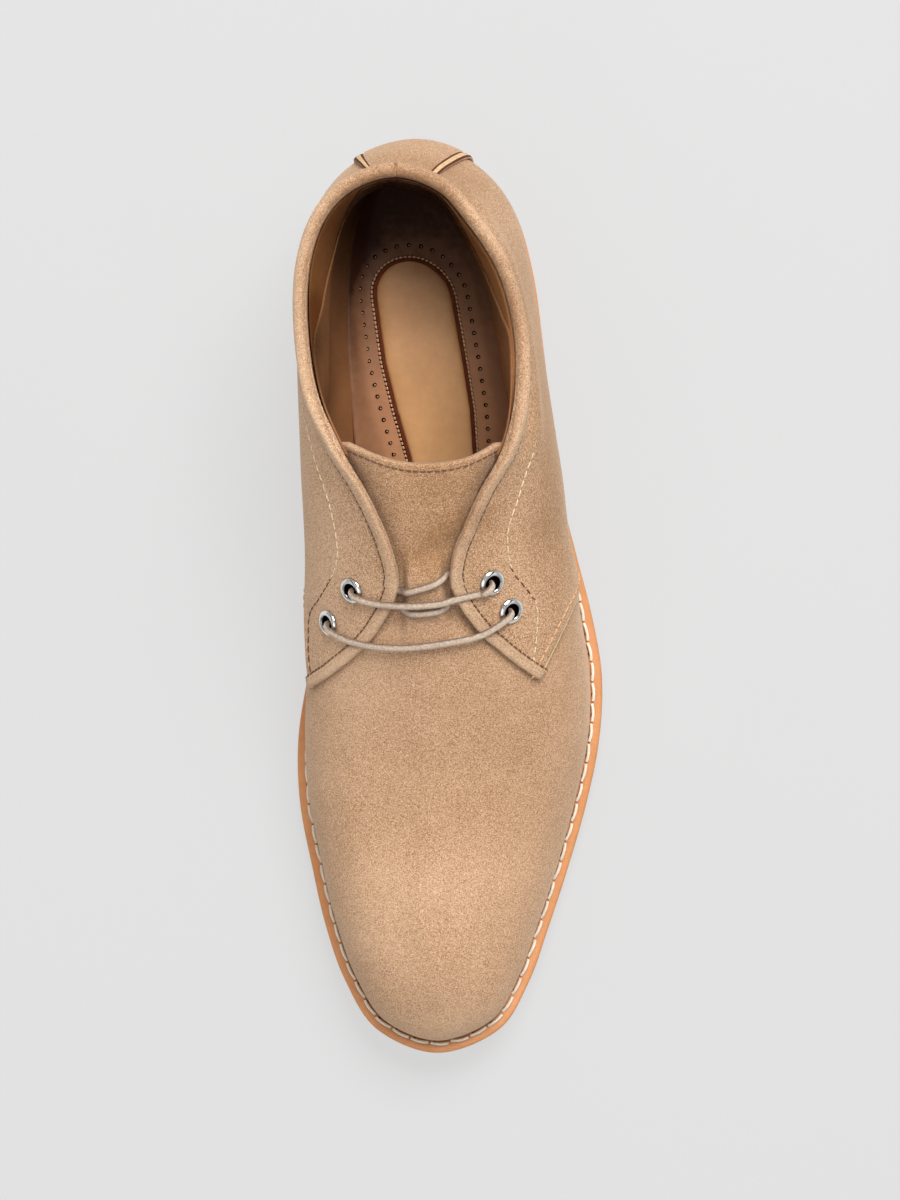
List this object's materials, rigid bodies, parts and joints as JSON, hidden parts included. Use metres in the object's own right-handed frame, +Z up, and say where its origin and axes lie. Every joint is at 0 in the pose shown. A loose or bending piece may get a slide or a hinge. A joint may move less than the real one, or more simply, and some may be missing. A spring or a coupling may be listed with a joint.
{
  "type": "chukka boot",
  "caption": "Low suede chukka boot for the left foot: open collar and throat, one-piece vamp and tongue under lapped quarters, eyelets with a short lace, stitched-down rim and low block heel.",
  "frame": {"origin": "on the ground, under the middle of the boot's outline", "axes": "+Z up; -Y towards the toe, +Y towards the heel; +X the outer (lateral) side of the left foot"},
  "size_m": [0.101, 0.2984, 0.0984],
  "materials": {
    "suede": "napped suede, matt",
    "sole_rubber": "smooth natural rubber, satin",
    "midsole_leather": "waxed veg-tan leather rim",
    "insole_leather": "smooth brown lining leather",
    "eyelet_metal": "polished nickel",
    "lace_cotton": "waxed flat cotton cord"
  },
  "bodies": {
    "root": {"heel": "sole_rubber", "outsole": "sole_rubber", "midsole": "midsole_leather", "insole": "insole_leather", "upper": "suede", "tongue": "suede", "heel_stay": "suede", "eyelet_medial_upper": "eyelet_metal", "eyelet_medial_lower": "eyelet_metal", "eyelet_lateral_upper": "eyelet_metal", "eyelet_lateral_lower": "eyelet_metal", "lace_over_upper": "lace_cotton", "lace_over_lower": "lace_cotton", "lace_under_upper": "lace_cotton", "lace_under_lower": "lace_cotton"}
  },
  "joints": []
}
